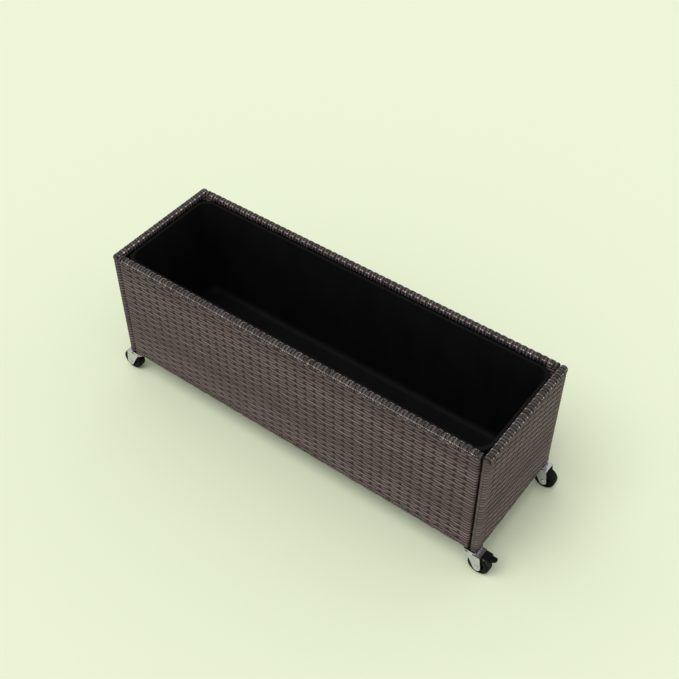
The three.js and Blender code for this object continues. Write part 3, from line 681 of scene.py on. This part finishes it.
def weave_panel(side):
    """Weaves one side in its own frame, turns it into place and counts its faces."""
    kind, turn, corner = PANELS[side]
    length = LONG_PANEL_LENGTH if kind == "long" else PLANTER_WIDTH
    pitch = LONG_WRAP_PITCH if kind == "long" else END_WRAP_PITCH
    rows_look = row_finish_x if kind == "long" else row_finish_y
    wraps_look = wrap_finish_x if kind == "long" else wrap_finish_y
    beads_look = bead_finish_x if kind == "long" else bead_finish_y
    place = Matrix.Translation(corner) @ Matrix.Rotation(math.radians(turn), 4, "Z")
    rim, foot = RIM_HEIGHT - TUBE_INSET, PANEL_FOOT + TUBE_INSET
    round_corners = kind == "end"
    top_places = tube_places(length, rim, pitch, round_corners, WRAP_LEAN)
    foot_places = tube_places(length, foot, pitch, round_corners, 0)
    if round_corners:
        top_places += corner_places(length, rim, True)
        foot_places += corner_places(length, foot, False)
    made = {
        "rows": (weave_rows(side + "_rows", length, kind), rows_look),
        "stakes": (weave_stakes(side + "_stakes", length, kind), painted_shade_stake_finish),
        "lining": (weave_painted_shade_lining(side + "_lining", length), painted_shade_lining_finish),
        "rim_wraps": (wrap_tube(side + "_rim_wraps", top_places), wraps_look),
        "foot_wraps": (wrap_tube(side + "_foot_wraps", foot_places), wraps_look),
        "rim_braid": (braid_rim(side + "_rim_braid", length, rim, pitch), beads_look),
    }
    for part, (mesh, look) in made.items():
        mesh.transform(place)
        replaced = {"rows": (side + "_weave",), "rim_wraps": (side + "_edge_wrap",)}.get(part, ())
        place_piece(f"{side}_{part}", mesh, "planter", look, replaced)
    return sum(len(mesh.polygons) for mesh, _ in made.values())


for side in PANELS:
    print(side, "panel faces:", weave_panel(side))

# %% [markdown]
# The two section curves and the single wrap were only tools, so they are removed. They could be hidden, but
# a hidden piece would still be handed over, so they are removed.

# %% Put the sections away
for section in (row_section, braid_section):
    data = section.data
    bpy.data.objects.remove(section)
    bpy.data.curves.remove(data)
bpy.data.meshes.remove(wrap_mesh)
print("curves left:", len(bpy.data.curves))

# %% [markdown]
# ## The liner
# The real liner is formed from one black sheet: a thin drafted tub with wide corners and a flat lip that
# turns out at the top. It could be carved from a block, but drawing one round-cornered outline out level by
# level gives an even wall and smooth corners. A Boolean cuts the four drains, as a drill does.

# %% Tub from one outline
LINER_FOOT = 86.6 * MM
LINER_TOP = 351.5 * MM
LINER_GAP = PANEL_THICKNESS + 1.5 * MM
LINER_CORNER = 24 * MM
LINER_WALL = 2.4 * MM
FOOT_ROUNDING = 18 * MM
DRAIN_SPACING_X, DRAIN_SPACING_Y = 520 * MM, 120 * MM
DRAIN_RADIUS = 6 * MM
DRILL_DEPTH = 20 * MM


def arc_levels(inset, height, radius, start, steps):
    """Levels along a quarter arc at the foot of the tub, from the flat floor to the wall or back."""
    levels = []
    for step in range(steps + 1):
        angle = math.radians(start - 90 * step / steps if start else 90 * step / steps)
        levels.append((inset + radius * (1 - math.sin(angle)), height + radius * (1 - math.cos(angle))))
    return levels


def tub_levels():
    """(inset from the lip, height) from the outer floor up the outside and down the inside."""
    wall_top, foot = 5 * MM, 11 * MM
    inner = FOOT_ROUNDING - LINER_WALL
    outside = arc_levels(foot, LINER_FOOT, FOOT_ROUNDING, 0, 6)
    inside = arc_levels(foot + LINER_WALL, LINER_FOOT + LINER_WALL, inner, 90, 6)
    lip = [(wall_top, LINER_TOP - LINER_WALL), (0.4 * MM, LINER_TOP - LINER_WALL),
           (0, LINER_TOP - 2 * MM), (0, LINER_TOP - 0.5 * MM), (0.5 * MM, LINER_TOP),
           (wall_top + LINER_WALL - 1.4 * MM, LINER_TOP),
           (wall_top + LINER_WALL - 0.4 * MM, LINER_TOP - 0.4 * MM),
           (wall_top + LINER_WALL, LINER_TOP - 1.4 * MM)]
    return outside + lip + inside


def drawn_tub(name):
    """Draws a round-cornered floor outline out through all the levels and closes it inside."""
    tub = bmesh.new()
    levels = tub_levels()
    half = Vector((PLANTER_LENGTH / 2 - LINER_GAP, PLANTER_WIDTH / 2 - LINER_GAP))
    inset, height = levels[0]
    size = Matrix.Diagonal((2 * (half.x - inset), 2 * (half.y - inset), 1, 1))
    bmesh.ops.create_grid(tub, x_segments=1, y_segments=1, size=0.5,
                          matrix=Matrix.Translation((0, 0, height)) @ size)
    bmesh.ops.bevel(tub, geom=tub.verts[:], offset=LINER_CORNER, segments=12, profile=0.5,
                    affect="VERTICES", material=-1)
    edge = [e for e in tub.edges if e.is_boundary]
    for next_inset, next_height in levels[1:]:
        drawn = bmesh.ops.extrude_edge_only(tub, edges=edge)["geom"]
        spots = {v for v in drawn if isinstance(v, bmesh.types.BMVert)}
        edge = [e for e in drawn if isinstance(e, bmesh.types.BMEdge) and set(e.verts) <= spots]
        grow_x = (half.x - next_inset) / (half.x - inset)
        grow_y = (half.y - next_inset) / (half.y - inset)
        for spot in spots:
            spot.co = (spot.co.x * grow_x, spot.co.y * grow_y, next_height)
        inset, height = next_inset, next_height
    bmesh.ops.contextual_create(tub, geom=edge)
    bmesh.ops.recalc_face_normals(tub, faces=tub.faces)
    mesh = bpy.data.meshes.new(name)
    tub.to_mesh(mesh)
    tub.free()
    return mesh


def drilled(mesh, holes, radius, height):
    """Cuts upright round holes at the given centres."""
    drill = bmesh.new()
    for x, y in holes:
        bmesh.ops.create_cone(drill, cap_ends=True, segments=32, radius1=radius, radius2=radius,
                              depth=DRILL_DEPTH, matrix=Matrix.Translation((x, y, height)))
    drill_mesh = bpy.data.meshes.new("drill")
    drill.to_mesh(drill_mesh)
    drill.free()
    tool = bpy.data.objects.new("drill", drill_mesh)
    work = bpy.data.objects.new("work", mesh)
    for thing in (tool, work):
        bpy.context.scene.collection.objects.link(thing)
    cutter = work.modifiers.new("drains", "BOOLEAN")
    cutter.object = tool
    bpy.context.view_layer.update()
    done = bpy.data.meshes.new_from_object(work.evaluated_get(bpy.context.evaluated_depsgraph_get()))
    for thing in (tool, work):
        bpy.data.objects.remove(thing)
    bpy.data.meshes.remove(drill_mesh)
    return done


def crisp(mesh, angle=30):
    """Smooth shading that stays sharp at real corners."""
    smooth(mesh)
    mesh.set_sharp_from_angle(angle=math.radians(angle))
    return mesh


drain_centres = [(x * DRAIN_SPACING_X / 2, y * DRAIN_SPACING_Y / 2) for x in (-1, 1) for y in (-1, 1)]
liner_mesh = crisp(drilled(drawn_tub("liner_tub"), drain_centres, DRAIN_RADIUS, LINER_FOOT))
place_piece("liner_tub", liner_mesh, "liner", liner_plastic, ("liner",))
print("liner faces:", len(liner_mesh.polygons))

# %% [markdown]
# ## The casters
# A wheel is a turned piece, so its section is drawn once and spun round the axle. The tyre is pressed on the
# rim of a plastic hub with a thin web. The bearing cup, the axle and the kingpin are turned in the same way.
# Cylinders with bevels would do for a far view, but a section gives the treads and rims their true profile.

# %% Turned pieces
WHEEL_RADIUS = 25 * MM
CASTER_INSET = 15.3 * MM
CASTER_TRAIL = 19.5 * MM


def spun(name, section, steps, axis):
    """Spins a closed section of (radius, distance along the axis), in millimetres, once round Y or Z."""
    whole = bmesh.new()
    spots = []
    for radius, along in section:
        place = (radius, along, 0) if axis == "Y" else (radius, 0, along)
        spots.append(whole.verts.new(Vector(place) * MM))
    edges = [whole.edges.new((spots[i], spots[(i + 1) % len(spots)])) for i in range(len(spots))]
    turn = (0, 1, 0) if axis == "Y" else (0, 0, 1)
    bmesh.ops.spin(whole, geom=spots + edges, axis=turn, cent=(0, 0, 0), dvec=(0, 0, 0),
                   angle=2 * math.pi, steps=steps, use_merge=True)
    bmesh.ops.remove_doubles(whole, verts=whole.verts, dist=0.001 * MM)
    bmesh.ops.dissolve_degenerate(whole, edges=whole.edges, dist=0.001 * MM)
    bmesh.ops.recalc_face_normals(whole, faces=whole.faces)
    mesh = bpy.data.meshes.new(name)
    whole.to_mesh(mesh)
    whole.free()
    return crisp(mesh)


def mirrored(half_section):
    """A section that is the same on both sides of the wheel, from its half at the positive end."""
    return half_section + [(radius, -along) for radius, along in reversed(half_section)]


TYRE_SECTION = mirrored([(25, 0.01), (24.95, 4), (24.7, 7), (24.1, 8.9), (23.1, 9.9), (21.8, 10.4),
                         (20.4, 10.5), (20, 10.2), (19.6, 10.5), (17.6, 10.5), (17, 10.1)])
HUB_SECTION = mirrored([(16.7, 0.01), (16.7, 8.7), (16.4, 9), (14.1, 9), (13.8, 8.7), (13.3, 3.4),
                        (12.4, 2.5), (7.2, 2.5), (6.3, 3.3), (6, 12.3), (5.7, 12.7), (3.6, 12.7),
                        (3.3, 12.4)])
AXLE_SECTION = mirrored([(3, 0.01), (3, 15.35), (5, 15.35), (5, 15.7), (4.6, 16.2), (3.4, 16.75),
                         (1.6, 16.9), (0.001, 16.9)])
CUP_SECTION = [(4.3, 60.3), (13.3, 60.3), (13.3, 58.5), (13.6, 58.2), (14.2, 58.2), (14.5, 58.5),
               (14.5, 59.7), (14.1, 60.7), (12.7, 62), (11.6, 62.4), (4.3, 62.4)]
KINGPIN_SECTION = [(0.001, 53.1), (4.6, 53.1), (6, 53.5), (6.8, 54.4), (7, 55.2), (6.9, 55.6), (4, 55.6),
                   (4, 65), (3.8, 65.2), (0.001, 65.2)]
SCREW_SECTION = [(0.001, 60.4), (1.2, 60.5), (2.1, 60.9), (2.7, 61.6), (2.8, 62.3), (2.7, 62.6),
                 (0.001, 62.6)]
print("tyre section points:", len(TYRE_SECTION))

# %% [markdown]
# A caster stands under each corner, with its wheel trailing outwards. The turned pieces take the place of
# the plain solids, and each rides on the body that moves it. Four round screw heads hold each plate. They
# could be cut into the plate itself, but a real screw is a piece of its own.

# %% Casters
CORNERS = {"front_left": (-1, -1), "front_right": (1, -1), "back_left": (-1, 1), "back_right": (1, 1)}
SCREW_REACH = 11.5 * MM


def turned_caster(corner):
    """Dresses the caster of one corner."""
    side_x, side_y = CORNERS[corner]
    x = side_x * (PLANTER_LENGTH / 2 - CASTER_INSET)
    y = side_y * (PLANTER_WIDTH / 2 - CASTER_INSET)
    swivel_place = Matrix.Translation((x, y, 0))
    wheel_place = Matrix.Translation((x + side_x * CASTER_TRAIL, y, WHEEL_RADIUS))
    parts = [
        ("caster_tyre", TYRE_SECTION, 96, "Y", wheel_place, "_wheel", tyre_rubber, "tyre_black"),
        ("caster_hub", HUB_SECTION, 64, "Y", wheel_place, "_wheel", hub_plastic, "hub_black"),
        ("caster_axle", AXLE_SECTION, 32, "Y", wheel_place, "_swivel", bright_zinc, "zinc"),
        ("caster_cup", CUP_SECTION, 48, "Z", swivel_place, None, bright_zinc, "zinc"),
        ("caster_kingpin", KINGPIN_SECTION, 32, "Z", swivel_place, None, bright_zinc, "zinc"),
    ]
    for part, section, steps, axis, place, body, look, slot in parts:
        mesh = spun(f"{corner}_turned_{part}", section, steps, axis)
        mesh.transform(place)
        rides_on = corner + body if body else "planter"
        place_piece(mesh.name, mesh, rides_on, look, (f"{corner}_{part}",))
    screws = bmesh.new()
    for sx in (-1, 1):
        for sy in (-1, 1):
            head = spun("screw_head", SCREW_SECTION, 16, "Z")
            reach = Matrix.Translation((sx * SCREW_REACH, sy * SCREW_REACH, 0))
            head.transform(swivel_place @ reach)
            screws.from_mesh(head)
            bpy.data.meshes.remove(head)
    mesh = bpy.data.meshes.new(corner + "_plate_screws")
    screws.to_mesh(mesh)
    screws.free()
    place_piece(mesh.name, crisp(mesh), "planter", plain_steel)


for corner in CORNERS:
    turned_caster(corner)
print("caster pieces:", 6 * len(CORNERS))

# %% [markdown]
# ## Finish on the carried-over solids
# The tubes, sheet, bars, bolts, plates, forks and pedals keep their own solids. A real pressed or moulded
# edge is never sharp, so all but the round tubes get a small rounding. It is a live modifier, because that
# leaves the solid's own mesh as it came.

# %% Carried-over solids
def carry_over(node, material, rounding):
    """Gives a solid its finish, and rounds its edges by so many millimetres."""
    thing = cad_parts[node]
    thing.data.materials.clear()
    thing.data.materials.append(material)
    if rounding:
        bevel = thing.modifiers.new("edge_rounding", "BEVEL")
        bevel.width = rounding * MM
        bevel.segments = 2
        bevel.limit_method = "ANGLE"
        bevel.angle_limit = math.radians(35)
        bevel.harden_normals = False


FINISHES = {
    "_frame": (frame_coat, 0), "deck": (sheet_coat, 0.4), "_bar": (sheet_coat, 0.4),
    "_bolt": (black_steel, 0.2),
    "_cage": (plain_steel, 0.2), "_pin": (plain_steel, 0.2), "_plate": (bright_zinc, 0.3),
    "_fork": (bright_zinc, 0.4), "_pedal": (pedal_plastic, 0.6),
}
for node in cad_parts:
    for ending, (look, rounding) in FINISHES.items():
        if node.endswith(ending):
            carry_over(node, look, rounding)
print("carried-over kinds:", len(FINISHES))
